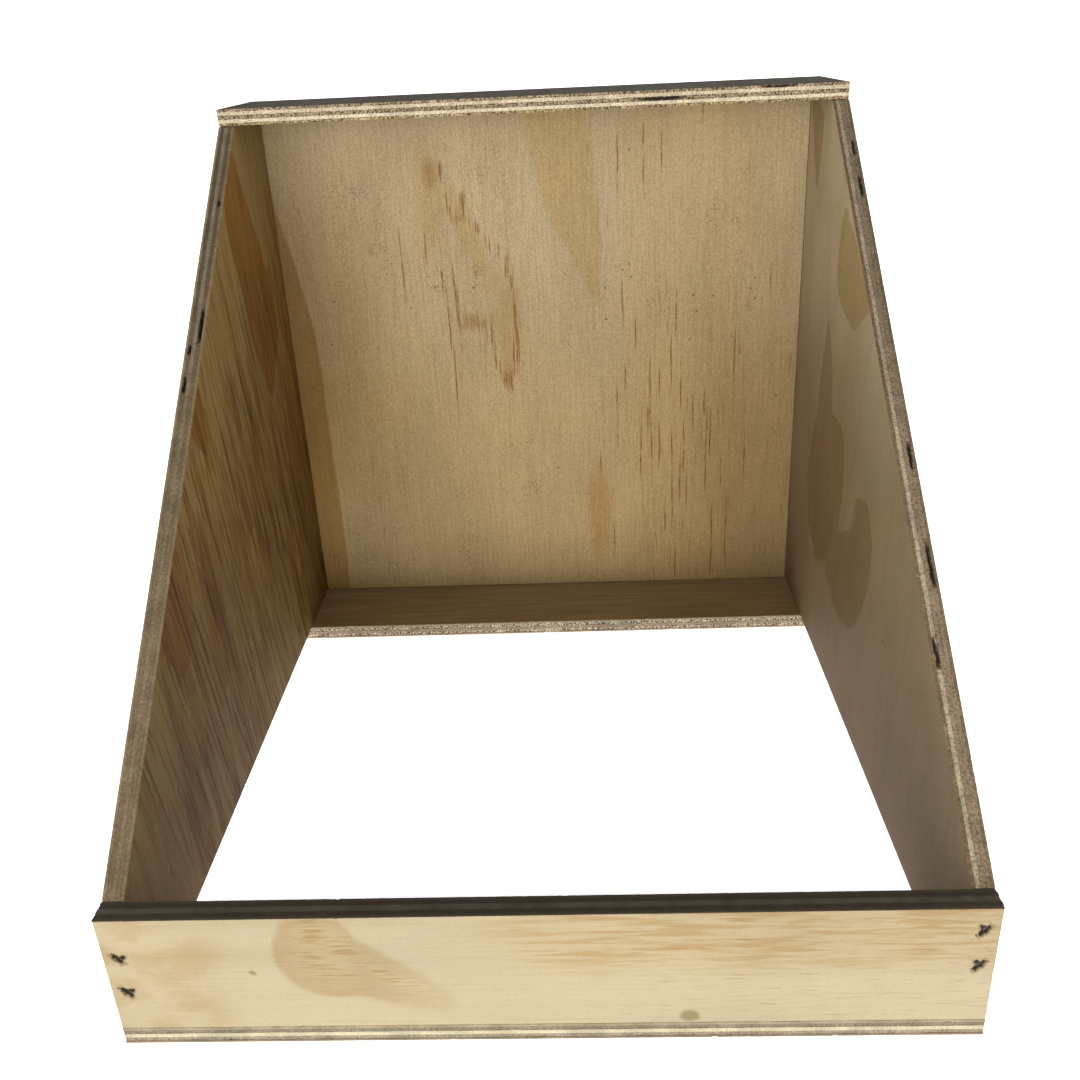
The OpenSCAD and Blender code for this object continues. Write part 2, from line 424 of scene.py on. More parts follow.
    def veneer(self, place, pale, tan, brown, ring_size=(34.0, 320.0, 50.0), rings=4.0, streaks=0.5, dots=0.5, sand=1.0):
        """Bare pine veneer, peeled from the log, with its fibres along the place's second axis."""
        figure = self.noise(place, ring_size, 1.0)
        waves = self.math("SINE", self.math("MULTIPLY", figure, rings * math.tau))
        colour = self.mix(self.step(waves, -0.4, 1.0, 0.0, 0.8), pale, tan)
        fibre = self.noise(place, (0.8, 45.0, 2.0), 3.0)
        colour = self.mix(self.step(fibre, 0.5, 0.8, 0.0, streaks), colour, brown)
        pores = self.noise(place, (0.6, 12.0, 2.0), 1.0, 7.0)
        colour = self.mix(self.step(pores, 0.62, 0.76, 0.0, dots), colour, brown)
        mottle = self.noise(place, (0.65, 0.8, 0.65), 2.0)
        colour = self.shade(colour, self.step(mottle, 0.32, 0.68, 1.0 - 0.18 * sand, 1.0 + 0.14 * sand))
        threads = self.noise(place, (0.8, 30.0, 2.0), 2.0, 11.0)
        colour = self.shade(colour, self.step(threads, 0.35, 0.65, 1.0 - 0.06 * sand, 1.0 + 0.05 * sand))
        broad = self.noise(place, (55.0, 120.0, 55.0), 2.0, 3.0)
        colour = self.shade(colour, self.step(broad, 0.3, 0.7, 0.92, 1.06))
        relief = self.math("ADD", fibre, self.math("MULTIPLY", mottle, 0.6))
        return colour, relief

    def dress(self, colour, relief, depth, roughness, shine=0.25):
        """Sets the surface's colour, its fine relief and how dull it is."""
        bump = self.tree.nodes.new("ShaderNodeBump")
        bump.inputs["Distance"].default_value = depth * MM
        bump.inputs["Strength"].default_value = 0.8
        self.put(relief, bump.inputs["Height"])
        self.put(bump.outputs[0], self.surface.inputs["Normal"])
        self.put(colour, self.surface.inputs["Base Color"])
        self.put(roughness, self.surface.inputs["Roughness"])
        self.surface.inputs["Specular IOR Level"].default_value = shine
        return self.material

    def patch(self, colour, mask, factor, strength=1.0):
        """Darkens or warms the colour where the mask is 1, by a factor for red, green and blue."""
        if strength < 1.0:
            mask = self.math("MULTIPLY", mask, strength)
        return self.mix(mask, colour, self.vector("MULTIPLY", colour, factor))

    def most(self, masks):
        """The largest of several masks."""
        whole = None
        for mask in masks:
            whole = mask if whole is None else self.math("MAXIMUM", whole, mask)
        return whole

    def waved(self, place, amount, size):
        """The place pushed a little aside, so that straight things wander as fibres do."""
        push = self.math("MULTIPLY", self.math("SUBTRACT", self.noise(place, size), 0.5), 2.0 * amount)
        return self.vector("ADD", place, self.join(push, 0.0, 0.0))

    def staple_wear(self, colour):
        """Dark holes and pale lifted fibres where the staples went in."""
        colour = self.mix(self.step(self.mark("burr"), 0.0, 0.8, 0.0, 0.5), colour, tone(120, 96, 66))
        return self.mix(self.step(self.mark("dent"), 0.0, 0.6, 0.0, 0.93), colour, tone(44, 34, 26))


def sawn_edge(name, tones, dust, painted_edge_shade=None, low_light=1.0, worn_low=None, rough=1.0):
    """The sawn edge of plywood: a tone for each veneer, pitted where the saw crossed its fibres, with
    dark glue between them. painted_edge_shade is (from, to, dark tone, paler middle tone) up the box: painted shade
    that darkens the edge's top."""
    edge = Finish(name)
    level = edge.mark("ply")
    crossed = edge.mark("end_grain")
    place = edge.box
    colour = tones[0]
    for share, above in zip(VENEER_ENDS, tones[1:]):
        colour = edge.mix(edge.step(level, share - 0.006, share + 0.006), colour, above)
    if worn_low:
        colour = edge.mix(edge.step(edge.z, 300.0, 170.0, 0.0, 0.75), colour, worn_low)
    soft = edge.noise(place, (9.0, 9.0, 9.0), 3.0)
    grit = edge.noise(place, (1.0, 1.0, 1.0), 3.0)
    colour = edge.shade(colour, edge.step(soft, 0.3, 0.7, 0.84, 1.14))
    colour = edge.shade(colour, edge.step(grit, 0.3, 0.7, 1.0 + 0.12 * rough, 1.0 - 0.14 * rough))
    if low_light != 1.0:
        colour = edge.shade(colour, edge.step(edge.z, 330.0, 90.0, 0.92, low_light))
    pitted = edge.step(crossed, 0.1, 0.9, 0.25 * rough, rough)
    speck = edge.math("MULTIPLY", edge.step(grit, 0.51, 0.58), pitted)
    colour = edge.mix(edge.math("MULTIPLY", speck, 0.85), colour, dust)
    pale = edge.math("MULTIPLY", edge.step(grit, 0.45, 0.38), pitted)
    colour = edge.mix(edge.math("MULTIPLY", pale, 0.7), colour, edge.shade(colour, 1.5))
    for share in VENEER_ENDS[:-1]:
        apart = edge.math("ABSOLUTE", edge.math("SUBTRACT", level, share))
        worn = edge.step(edge.noise(place, (14.0, 14.0, 14.0), 3.0, 4.0 + share), 0.35, 0.65, 0.1, 0.8)
        colour = edge.mix(edge.math("MULTIPLY", edge.step(apart, 0.016, 0.006), worn), colour, dust)
    colour = edge.mix(edge.step(edge.mark("torn"), 0.1, 0.8, 0.0, 0.6), colour, edge.shade(tones[1], 1.15))
    # Painted shade: the open gaps between the veneers are coloured near-black as well as sunk in.
    colour = edge.mix(edge.step(edge.mark("hollow"), 0.15, 0.8, 0.0, 0.95), colour, tone(34, 24, 18))
    # Painted shade: the edge's top is coloured dark, its middle veneer a little paler.
    if painted_edge_shade:
        edge_shade_mask = edge.math("MULTIPLY", edge.step(edge.z, painted_edge_shade[0], painted_edge_shade[1]), 0.93)
        paler_middle = edge.step(edge.math("ABSOLUTE", edge.math("SUBTRACT", level, 0.5)), 0.20, 0.08, 0.0, 0.9)
        paler_middle = edge.math("MULTIPLY", paler_middle, edge.step(soft, 0.25, 0.6, 0.3, 1.0))
        colour = edge.mix(edge_shade_mask, colour, edge.mix(paler_middle, painted_edge_shade[2], painted_edge_shade[3]))
    relief = edge.math("MULTIPLY", grit, pitted)
    return edge.dress(colour, relief, 0.5, 0.85)


CROWN_LONGEST = 5.8


def driven_staples(node, outward):
    """The staples of one CAD node: each one's crown centre, crown direction, and depth, in millimetres."""
    merged = bmesh.new()
    merged.from_mesh(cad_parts[node].data)
    bmesh.ops.remove_doubles(merged, verts=merged.verts, dist=0.000001)
    outward = Vector(outward)
    found = []
    left = set(merged.verts)
    while left:
        island = {left.pop()}
        edge_of = set(island)
        while edge_of:
            edge_of = {e.other_vert(v) for v in edge_of for e in v.link_edges} - island
            island |= edge_of
        left -= island
        heights = [v.co.dot(outward) for v in island]
        top = max(heights)
        crown = [v for v in island if v.co.dot(outward) > top - 0.00001]
        centre = sum((v.co for v in crown), Vector()) / len(crown)
        flat = [e for v in crown for e in v.link_edges if e.other_vert(v) in crown]
        longest = max((e for e in flat if e.calc_length() < CROWN_LONGEST * MM), key=lambda e: e.calc_length())
        along = (longest.verts[1].co - longest.verts[0].co).normalized()
        found.append((centre / MM, along, (top - min(heights)) / MM))
    merged.free()
    return sorted(found, key=lambda s: tuple(s[0]))


def staples_on(node, outward, u, v, side, origin):
    """Where a board's staples lie on its own outline."""
    marks = []
    for centre, along, depth in driven_staples(node, outward):
        local = centre - Vector(origin)
        crown = Vector((along.dot(u), along.dot(v))).normalized()
        marks.append(((local.dot(u), local.dot(v)), (crown.x, crown.y), side))
    return marks


RIGHTWARD, REARWARD, UPWARD = Vector((1, 0, 0)), Vector((0, 1, 0)), Vector((0, 0, 1))
lip_low, lip_high = [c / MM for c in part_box("front_lip")]
top_low, top_high = [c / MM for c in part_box("top_board")]

# The side boards' tones are darker than the back's: partly their weathered wood, partly painted shade for the little
# light that falls across the box onto them.
side_colours = {
    "left": (tone(144, 123, 78), tone(124, 97, 52), tone(76, 48, 18)),
    "right": (tone(180, 164, 132), tone(164, 144, 108), tone(122, 100, 68)),
}


edge_tones = {
    "left": (tone(158, 140, 100), tone(100, 88, 68), tone(136, 124, 100), tone(106, 90, 68), tone(140, 120, 88)),
    "right": (tone(126, 102, 75), tone(172, 158, 132), tone(142, 124, 98), tone(140, 122, 96), tone(126, 110, 86)),
}


def left_figure(face, place, colour):
    """The left board's orange heart stripe and its brown flecks, with painted shade darkening its lower part and a
    painted grey cast of floor light at its foot.
    """
    wandering = face.waved(place, 2.0, (14.0, 60.0, 30.0))
    stripes = [face.outline(wandering, [(98.0, 340.0), (71.0, 300.0), (73.0, 272.0), (81.0, 248.0), (131.0, 248.0),
                                        (122.0, 270.0), (108.0, 318.0)], 0.8, 8.0, 5.0, (5.0, 70.0)),
               face.outline(wandering, [(79.0, 256.0), (80.0, 240.0), (87.0, 209.0), (99.0, 182.0), (106.0, 182.0),
                                        (119.0, 196.0), (132.0, 215.0), (132.0, 256.0)], 0.8, 8.0, 5.0, (5.0, 70.0)),
               face.outline(wandering, [(-4.0, 229.0), (-22.0, 214.0), (-22.0, 206.0), (-10.0, 191.0),
                                        (-5.0, 196.0)], 0.8, 4.0, 4.0, (3.0, 50.0))]
    colour = face.patch(colour, face.most(stripes), (0.80, 0.56, 0.29), 0.95)
    rusty = [face.outline(wandering, [(-57.0, 182.0), (-54.0, 141.0), (-66.0, 117.0), (-85.0, 108.0),
                                      (-96.0, 136.0), (-88.0, 156.0)], 3.0, 8.0, 12.0, (4.0, 50.0)),
             face.outline(wandering, [(-46.0, 149.0), (-36.0, 137.0), (-29.0, 105.0), (-28.0, 78.0),
                                      (-39.0, 72.0), (-45.0, 104.0)], 2.0, 6.0, 9.0, (4.0, 50.0))]
    colour = face.patch(colour, face.most(rusty), (0.86, 0.68, 0.56), 0.9)
    corner = face.math("MULTIPLY", face.step(face.y, 112.0, 140.0), face.step(face.z, 330.0, 230.0, 0.2, 1.0))
    colour = face.patch(colour, corner, (0.86, 0.72, 0.50), 0.9)
    wide = face.step(face.noise(wandering, (5.0, 70.0, 9.0), 3.0, 15.0), 0.48, 0.62)
    colour = face.patch(colour, wide, (0.88, 0.76, 0.56), 0.8)
    low_down = face.step(face.z, 310.0, 200.0, 0.1, 1.0)
    clean_foot = face.step(face.math("MULTIPLY_ADD", face.z, 0.6, face.y), -110.0, -55.0, 0.15, 1.0)
    leaning = face.join(face.math("MULTIPLY_ADD", face.z, 0.16, face.y), face.z, face.x)
    fibres = face.waved(leaning, 1.2, (20.0, 110.0, 20.0))
    for size, cut, factor in (((7.0, 130.0, 9.0), 0.56, (0.80, 0.69, 0.53)),
                              ((1.8, 50.0, 4.0), 0.58, (0.66, 0.54, 0.38)),
                              ((2.8, 75.0, 5.0), 0.62, (0.46, 0.34, 0.20))):
        fleck = face.step(face.noise(fibres, size, 1.0, 5.0 * size[0]), cut, cut + 0.03)
        shown = face.math("MULTIPLY", face.math("MULTIPLY", fleck, low_down), clean_foot)
        colour = face.patch(colour, shown, factor, 0.9)
    amber = face.step(face.noise(wandering, (3.0, 40.0, 9.0), 2.0, 25.0), 0.56, 0.68)
    colour = face.patch(colour, amber, (1.0, 0.82, 0.50), 0.8)
    # Painted shade: the board darkens towards its foot.
    colour = face.patch(colour, face.step(face.z, 260.0, 120.0), (0.72, 0.65, 0.47), 0.9)
    # Painted light: a grey cast of light bounced from the pale floor at the front of the foot.
    floor_light_foot = face.math("MULTIPLY", face.step(face.z, 150.0, 40.0), face.step(face.y, 60.0, -80.0))
    return face.patch(colour, floor_light_foot, (0.88, 0.86, 1.10), 0.9)


def right_figure(face, place, colour):
    """The right board's cathedral patches of brown heartwood on grey-tan, with painted shade darkening its lower
    part and a painted grey cast of floor light at its foot.
    """
    wandering = face.waved(place, 3.0, (16.0, 50.0, 30.0))
    heart = [face.outline(wandering, corners, 0.8, 7.0, 3.0, (6.0, 60.0)) for corners in (
        [(70.0, 291.0), (78.0, 265.0), (77.0, 247.0), (67.0, 237.0), (40.0, 229.0), (30.0, 234.0),
         (14.0, 250.0), (48.0, 278.0)],
        [(90.0, 226.0), (76.0, 206.0), (67.0, 170.0), (103.0, 153.0), (95.0, 200.0)],
        [(68.0, 174.0), (42.0, 171.0), (36.0, 151.0), (36.0, 127.0), (50.0, 86.0), (80.0, 68.0),
         (104.0, 82.0), (114.0, 115.0), (103.0, 157.0)],
        [(56.0, 101.0), (2.0, 133.0), (-20.0, 137.0), (-19.0, 107.0), (-4.0, 77.0), (10.0, 66.0),
         (34.0, 62.0), (60.0, 74.0)],
        [(13.0, 147.0), (-7.0, 153.0), (-21.0, 133.0), (-2.0, 114.0), (19.0, 112.0)],
        [(155.0, 345.0), (124.0, 332.0), (125.0, 311.0), (131.0, 288.0), (139.0, 295.0)])]
    colour = face.patch(colour, face.most(heart), (0.78, 0.68, 0.49), 0.9)
    inner = [face.oval(wandering, (78.0, 112.0), (22.0, 44.0), -8.0, 0.25, 0.6, (7.0, 60.0)),
             face.oval(wandering, (4.0, 108.0), (14.0, 30.0), -6.0, 0.25, 0.6, (7.0, 60.0))]
    colour = face.patch(colour, face.most(inner), (0.93, 0.89, 0.80), 0.8)
    hole = face.near(place, [(69.0, 254.5, 0.8, 0.8), (-47.0, 98.0, 0.9, 0.9)], 0.5)
    colour = face.patch(colour, hole, (0.4, 0.3, 0.2), 0.9)
    around = face.noise(wandering, (60.0, 260.0, 40.0), 2.0, 31.0)
    cathedral = face.math("SINE", face.math("MULTIPLY", around, 40.0))
    colour = face.patch(colour, face.step(cathedral, 0.3, 1.0), (0.93, 0.89, 0.80), 0.6)
    # Painted shade: the board darkens towards its foot.
    lower = face.step(face.z, 280.0, 150.0)
    colour = face.patch(colour, lower, (0.52, 0.47, 0.38), 0.9)
    # Painted light: a grey cast of light bounced from the pale floor at the foot.
    floor_light_foot = face.step(face.z, 150.0, 40.0)
    return face.patch(colour, floor_light_foot, (0.80, 0.73, 0.80), 0.9)


for hand in ("left", "right"):
    node = hand + "_side"
    low, high = [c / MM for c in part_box(node)]
    depth, rise = high.y - low.y, high.z - low.z
    shape = [(0.0, 0.0), (depth, 0.0), (depth, rise), (top_low.y - low.y, rise),
             (0.0, lip_high.z - low.z)]
    outer = -1 if hand == "left" else 1
    start = Vector((low.x, low.y, low.z))
    marks = staples_on(node + "_staples", (outer, 0, 0), REARWARD, UPWARD, outer, start)
    slope = Vector(shape[3]) - Vector(shape[4])

    def on_slope(share):
        return tuple(Vector(shape[4]) + share * slope)

    if hand == "left":
        open_gaps = [(on_slope(0.645), on_slope(0.70), 3, 2.5), (on_slope(0.63), on_slope(0.645), 1, 2.0),
                     (on_slope(0.575), on_slope(0.60), 1, 1.5), (on_slope(0.86), on_slope(0.87), 3, 1.5)]
    else:
        open_gaps = [(on_slope(0.90), on_slope(0.93), 3, 0.9), (on_slope(0.83), on_slope(0.87), 3, 1.2),
                     (on_slope(0.44), on_slope(0.48), 3, 1.0), (on_slope(0.30), on_slope(0.36), 3, 1.2),
                     (on_slope(0.21), on_slope(0.25), 1, 0.8)]
    board = sawn_board(hand + "_side_board", shape, high.x - low.x, (REARWARD, UPWARD, RIGHTWARD), start,
                       (0.0, 1.0), pitch=1.0, staples=marks, gaps=open_gaps, seed=17.0 if hand == "left" else 41.0)
    face = Finish(hand + "_side_veneer")
    place = face.join(face.y, face.z, face.x)
    colour, relief = face.veneer(place, *side_colours[hand], ring_size=(60.0, 420.0, 50.0), rings=1.5,
                                 streaks=0.6 if hand == "left" else 0.2,
                                 dots=0.6 if hand == "left" else 0.15, sand=0.6)
    figure = left_figure if hand == "left" else right_figure
    colour = face.staple_wear(figure(face, place, colour))
    board.data.materials.append(face.dress(colour, relief, 0.15, 0.7))
    board.data.materials.append(sawn_edge(hand + "_side_sawn_edge", edge_tones[hand], tone(58, 44, 34),
                                          low_light=1.35 if hand == "left" else 1.3,
                                          worn_low=tone(122, 105, 78) if hand == "left" else None,
                                          rough=0.6 if hand == "left" else 0.9))
    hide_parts(node)
    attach(board, "root")


# The back board closes the box between the sides, set in a little from their rear edges.
# It is the same plywood with its fibres upright, pale, with resin streaks and a fine speckle.
low, high = [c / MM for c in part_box("back_panel")]
shape = [(0.0, 0.0), (high.x - low.x, 0.0), (high.x - low.x, high.z - low.z), (0.0, high.z - low.z)]
board = sawn_board("back_board", shape, high.y - low.y, (RIGHTWARD, UPWARD, REARWARD), low,
                   (0.0, 1.0), pitch=4.0, seed=5.0)
# Resin lines as (across, from, to) in the box's X and Z, and specks as (across, height, how far they spread).
resin_lines = [(-63.3, 228, 246), (-61.5, 218, 233), (-60.9, 189, 226), (-59.5, 141, 192), (-56, 225, 247),
               (-54.2, 202, 231), (-55.3, 207, 239), (-59, 299, 310), (-56.3, 280, 292), (-54.5, 273, 284),
               (-46.4, 276, 290), (-39.3, 266, 275), (-37.8, 265, 272), (-33.9, 257, 267), (-31.3, 253, 263),
               (-26, 250, 258), (-22.3, 236, 251), (-20.8, 240, 252), (-19, 228, 238), (-17.8, 175, 239),
               (-16.7, 180, 227), (-19.8, 170, 200), (-33.9, 189, 206), (-32.1, 175, 193), (-29.5, 167, 181),
               (-27.3, 161, 177), (-25.5, 159, 173), (-24, 157, 171), (-22.3, 159, 173), (-88, 223, 273),
               (-72, 246, 268), (52.3, 202, 231), (60.2, 188, 206), (86.7, 193, 224), (83.8, 161, 193),
               (69.7, 133, 179), (75.9, 153, 171), (90, 141, 164), (94.3, 139, 150), (98.6, 128, 152),
               (105.7, 138, 155), (107.6, 78, 143), (110.1, 106, 141), (125, 159, 197), (128.6, 180, 188),
               (133.4, 92, 124), (47.6, 117, 164), (35.8, 96, 114), (53.4, 158, 175), (68.3, 125, 151),
               (70.7, 95, 134), (75.9, 103, 132), (84.6, 54, 126), (92.2, 98, 134), (90.1, 72, 104),
               (94.4, 67, 102), (63.4, 86, 130), (80, 50, 72), (87.1, 11, 35), (118, 85, 105),
               (122.3, 26, 75), (44, 31, 55), (112.6, 12, 66), (146.3, 226, 239), (50, 290, 322),
               (66, 316, 330), (77, 300, 322), (102, 328, 338), (66, 284, 308)]
speck_fields = [(-112, 288, 20), (-30, 305, 16), (116, 272, 13), (22, 192, 11), (-20, 124, 10), (-60, 86, 9),
                (-14, 86, 8), (-118, 40, 24), (-62, 40, 14), (-44, 236, 12), (-70, 238, 14), (136, 300, 10),
                (-100, 250, 16), (124, 236, 12), (70, 214, 12)]
face = Finish("back_veneer")
place = face.join(face.x, face.z, face.y)
colour, relief = face.veneer(place, tone(201, 178, 138), tone(191, 166, 123), tone(154, 122, 74),
                             ring_size=(70.0, 500.0, 50.0), rings=1.5, streaks=0.25, dots=0.2)
wandering = face.waved(place, 1.0, (9.0, 30.0, 20.0))
gentle = face.waved(place, 3.0, (30.0, 60.0, 20.0))
band_edge = face.step(face.z, 190.0, 310.0, -149.5, -166.0)
band = face.step(face.math("SUBTRACT", face.math("ADD", face.x, face.math(
    "MULTIPLY", face.noise(place, (40.0, 60.0, 20.0)), 4.0)), band_edge), 3.2, 1.4)
colour = face.patch(colour, band, (0.76, 0.64, 0.44))
left_shade = face.step(face.x, -60.0, -150.0)
middle = face.math("MULTIPLY", face.step(face.z, 330.0, 230.0), face.step(face.z, 60.0, 160.0))
colour = face.patch(colour, face.math("MULTIPLY", left_shade, middle), (0.74, 0.69, 0.57), 0.9)
cathedral = face.outline(gentle, [(38.0, 212.0), (40.0, 250.0), (31.0, 345.0), (-5.0, 345.0), (-4.0, 311.0),
                                  (2.0, 286.0), (22.0, 240.0)], 2.0, 8.0, 8.0, (4.0, 50.0))
colour = face.patch(colour, cathedral, (0.95, 0.87, 0.68), 0.9)
flame = face.most([face.oval(gentle, (-68.0, 286.0), (9.0, 30.0), 0.0, 0.6, 0.9, (3.0, 30.0)),
                   face.oval(gentle, (-44.0, 262.0), (7.0, 40.0), 22.0, 0.6, 0.9, (3.0, 30.0)),
                   face.oval(gentle, (-22.0, 205.0), (9.0, 34.0), 0.0, 0.6, 0.9, (3.0, 30.0))])
colour = face.patch(colour, flame, (0.92, 0.84, 0.68), 0.9)
warm_right = face.math("MULTIPLY", face.step(face.x, 40.0, 70.0), face.step(face.x, 150.0, 110.0))
colour = face.patch(colour, warm_right, (0.97, 0.93, 0.83), 0.7)
fingers = face.step(face.noise(wandering, (1.5, 16.0, 9.0), 2.0, 21.0), 0.42, 0.58, 0.25, 1.0)
blotch = face.most([face.outline(wandering, [(-53.3, 205.0), (-52.0, 199.5), (-43.8, 202.0), (-35.0, 199.0),
                                             (-33.0, 209.0), (-40.4, 214.0), (-50.0, 213.0)], 3.0, 4.0, 12.0,
                                 (1.3, 18.0)),
                    face.outline(wandering, [(-28.0, 168.0), (-24.0, 161.0), (-20.5, 163.0), (-19.0, 180.0),
                                             (-24.0, 182.0)], 3.0, 4.0, 9.0, (1.3, 18.0)),
                    face.outline(wandering, [(-54.5, 276.0), (-50.6, 272.5), (-46.5, 274.0), (-47.5, 279.0)],
                                 2.0, 2.0, 6.0, (1.3, 12.0))])
colour = face.patch(colour, face.math("MULTIPLY", blotch, fingers), (0.74, 0.55, 0.34), 0.8)
stain = face.oval(gentle, (35.0, 66.0), (8.0, 36.0), 0.0, 0.4, 0.8, (3.0, 30.0))
colour = face.patch(colour, stain, (0.90, 0.72, 0.48), 0.7)
smudge = face.most([face.oval(wandering, (-46.5, 287.0), (2.0, 6.0), 0.0, 0.6, 0.9, (1.2, 9.0)),
                    face.oval(wandering, (-66.0, 304.0), (3.8, 8.0), 0.0, 0.8, 1.2, (1.2, 9.0)),
                    face.oval(wandering, (-59.0, 306.0), (1.3, 4.5), 0.0, 0.6, 0.9, (1.2, 9.0))])
colour = face.patch(colour, smudge, (0.70, 0.58, 0.38), 0.8)
lines = face.near(wandering, [(across, (bottom + top) / 2, 0.5, (top - bottom) / 1.8)
                              for across, bottom, top in resin_lines], 0.5)
broken = face.step(face.noise(place, (3.0, 9.0, 3.0), 2.0, 14.0), 0.35, 0.55, 0.35, 1.0)
colour = face.patch(colour, face.math("MULTIPLY", lines, broken), (0.56, 0.38, 0.20), 0.95)
grain_dash = face.step(face.noise(wandering, (0.6, 26.0, 4.0), 1.0, 4.0), 0.66, 0.74)
dash_field = face.most([face.math("MULTIPLY", face.step(face.x, 40.0, 70.0), face.step(face.z, 280.0, 170.0)),
                        face.oval(place, (-40.0, 235.0), (38.0, 80.0), 0.0, 0.5),
                        face.oval(place, (34.0, 280.0), (20.0, 60.0), 0.0, 0.5)])
colour = face.patch(colour, face.math("MULTIPLY", grain_dash, face.step(dash_field, 0.0, 1.0, 0.15, 1.0)),
                    (0.62, 0.46, 0.28), 0.85)
fields = face.near(face.waved(place, 9.0, (14.0, 14.0, 14.0)),
                   [(across, up, spread * 0.9, spread) for across, up, spread in speck_fields], 0.9)
speck = face.math("MULTIPLY", face.pinholes(face.waved(place, 1.0, (3.0, 3.0, 3.0)), 1.8, 0.8),
                  face.step(face.noise(place, (9.0, 9.0, 9.0), 3.0), 0.44, 0.58))
colour = face.patch(colour, face.math("MULTIPLY", speck, fields), (0.50, 0.41, 0.31), 0.75)
holes = [(56.6, 242.7), (52.4, 238.8), (57.8, 234.2), (97.6, 220.9), (99.8, 209.9), (95.7, 191.0),
         (134.1, 223.8), (137.2, 217.3), (136.7, 230.6), (110.4, 220.0), (153.3, 149.9)]
pits = face.near(place, [(across, up, 0.75, 0.75) for across, up in holes], 0.5)
colour = face.patch(colour, face.math("MAXIMUM", pits, face.pinholes(place, 19.0, 1.1)), (0.42, 0.32, 0.22), 0.85)
# Painted shade, partly soil: the board darkens along its foot and over its right part, more towards the bottom.
soil_and_shade = face.math("MAXIMUM", face.step(face.z, 26.0, 9.0, 0.0, 0.4), face.math("MULTIPLY", face.step(
    face.x, 40.0, 160.0), face.step(face.z, 330.0, 60.0, 0.1, 0.95)))
colour = face.patch(colour, soil_and_shade, (0.58, 0.52, 0.41), 0.8)
# Painted shade: the lower half is darker and yellower than the top.
colour = face.patch(colour, face.step(face.z, 250.0, 120.0), (0.99, 0.94, 0.80), 0.9)
board.data.materials.append(face.dress(colour, relief, 0.12, 0.7))
board.data.materials.append(sawn_edge("back_sawn_edge", edge_tones["right"], tone(70, 56, 44)))
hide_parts("back_panel")
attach(board, "root")


# The top board lies across both sides and the back, stapled down into their edges.
# Its face fibres run from front to rear, so the saw tore its front edge, and its top face is painted dark grey as
# painted shade.
low, high = [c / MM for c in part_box("top_board")]
shape = [(0.0, 0.0), (high.x - low.x, 0.0), (high.x - low.x, high.y - low.y), (0.0, high.y - low.y)]
marks = staples_on("top_board_staples", (0, 0, 1), RIGHTWARD, REARWARD, 1, low)
board = sawn_board("top_board_ply", shape, high.z - low.z, (RIGHTWARD, REARWARD, UPWARD), low,
                   (0.0, 1.0), pitch=0.9, staples=marks, seed=11.0,
                   gaps=[((232.0, 0.0), (262.0, 0.0), 2, 0.9), ((300.0, 0.0), (322.0, 0.0), 4, 0.9)])
face = Finish("top_board_veneer")
place = face.join(face.x, face.y, face.z)
colour, relief = face.veneer(place, tone(150, 136, 112), tone(132, 116, 92), tone(90, 78, 62))
# Painted shade: the top face is darkened to dark grey.
painted_top_shade = face.step(face.z, low.z + 2.0, high.z - 1.5, 0.0, 0.8)
colour = face.mix(painted_top_shade, colour, tone(42, 40, 35))
colour = face.staple_wear(colour)
board.data.materials.append(face.dress(colour, relief, 0.15, 0.95, 0.06))
board.data.materials.append(sawn_edge("top_board_sawn_edge", (
    tone(180, 156, 114), tone(230, 214, 182), tone(162, 142, 112), tone(220, 202, 170), tone(170, 150, 120)),
    tone(66, 46, 30)))
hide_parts("top_board")
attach(board, "root")


# The rear bottom board lies under the back and the sides, as a shelf 66 mm deep, stapled up into them.
# Its top face is painted a darker, streaky brown as painted shade.
low, high = [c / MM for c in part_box("rear_bottom_board")]
shape = [(0.0, 0.0), (high.x - low.x, 0.0), (high.x - low.x, high.y - low.y), (0.0, high.y - low.y)]
marks = staples_on("rear_board_staples", (0, 0, -1), RIGHTWARD, REARWARD, -1, low)
board = sawn_board("rear_board_ply", shape, high.z - low.z, (RIGHTWARD, REARWARD, UPWARD), low,
                   (1.0, 0.0), pitch=1.0, staples=marks, seed=23.0)
face = Finish("rear_board_veneer")
place = face.join(face.y, face.x, face.z)
colour, relief = face.veneer(place, tone(176, 156, 118), tone(158, 134, 92), tone(112, 88, 54))
# Painted shade: the top face is darkened to a streaky brown.
painted_ledge_shade = face.step(face.z, low.z + 2.0, high.z - 1.5, 0.0, 0.8)
shade_streaks = face.step(face.noise(place, (2.0, 60.0, 9.0), 3.0, 8.0), 0.35, 0.65)
colour = face.mix(painted_ledge_shade, colour, face.mix(shade_streaks, tone(142, 119, 85), tone(164, 139, 103)))
colour = face.staple_wear(colour)
board.data.materials.append(face.dress(colour, relief, 0.15, 0.8))
board.data.materials.append(sawn_edge("rear_board_sawn_edge", (
    tone(186, 164, 132), tone(206, 192, 168), tone(182, 164, 138), tone(204, 190, 166), tone(190, 174, 148)),
    tone(74, 54, 40), rough=1.3))
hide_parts("rear_bottom_board")
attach(board, "root")


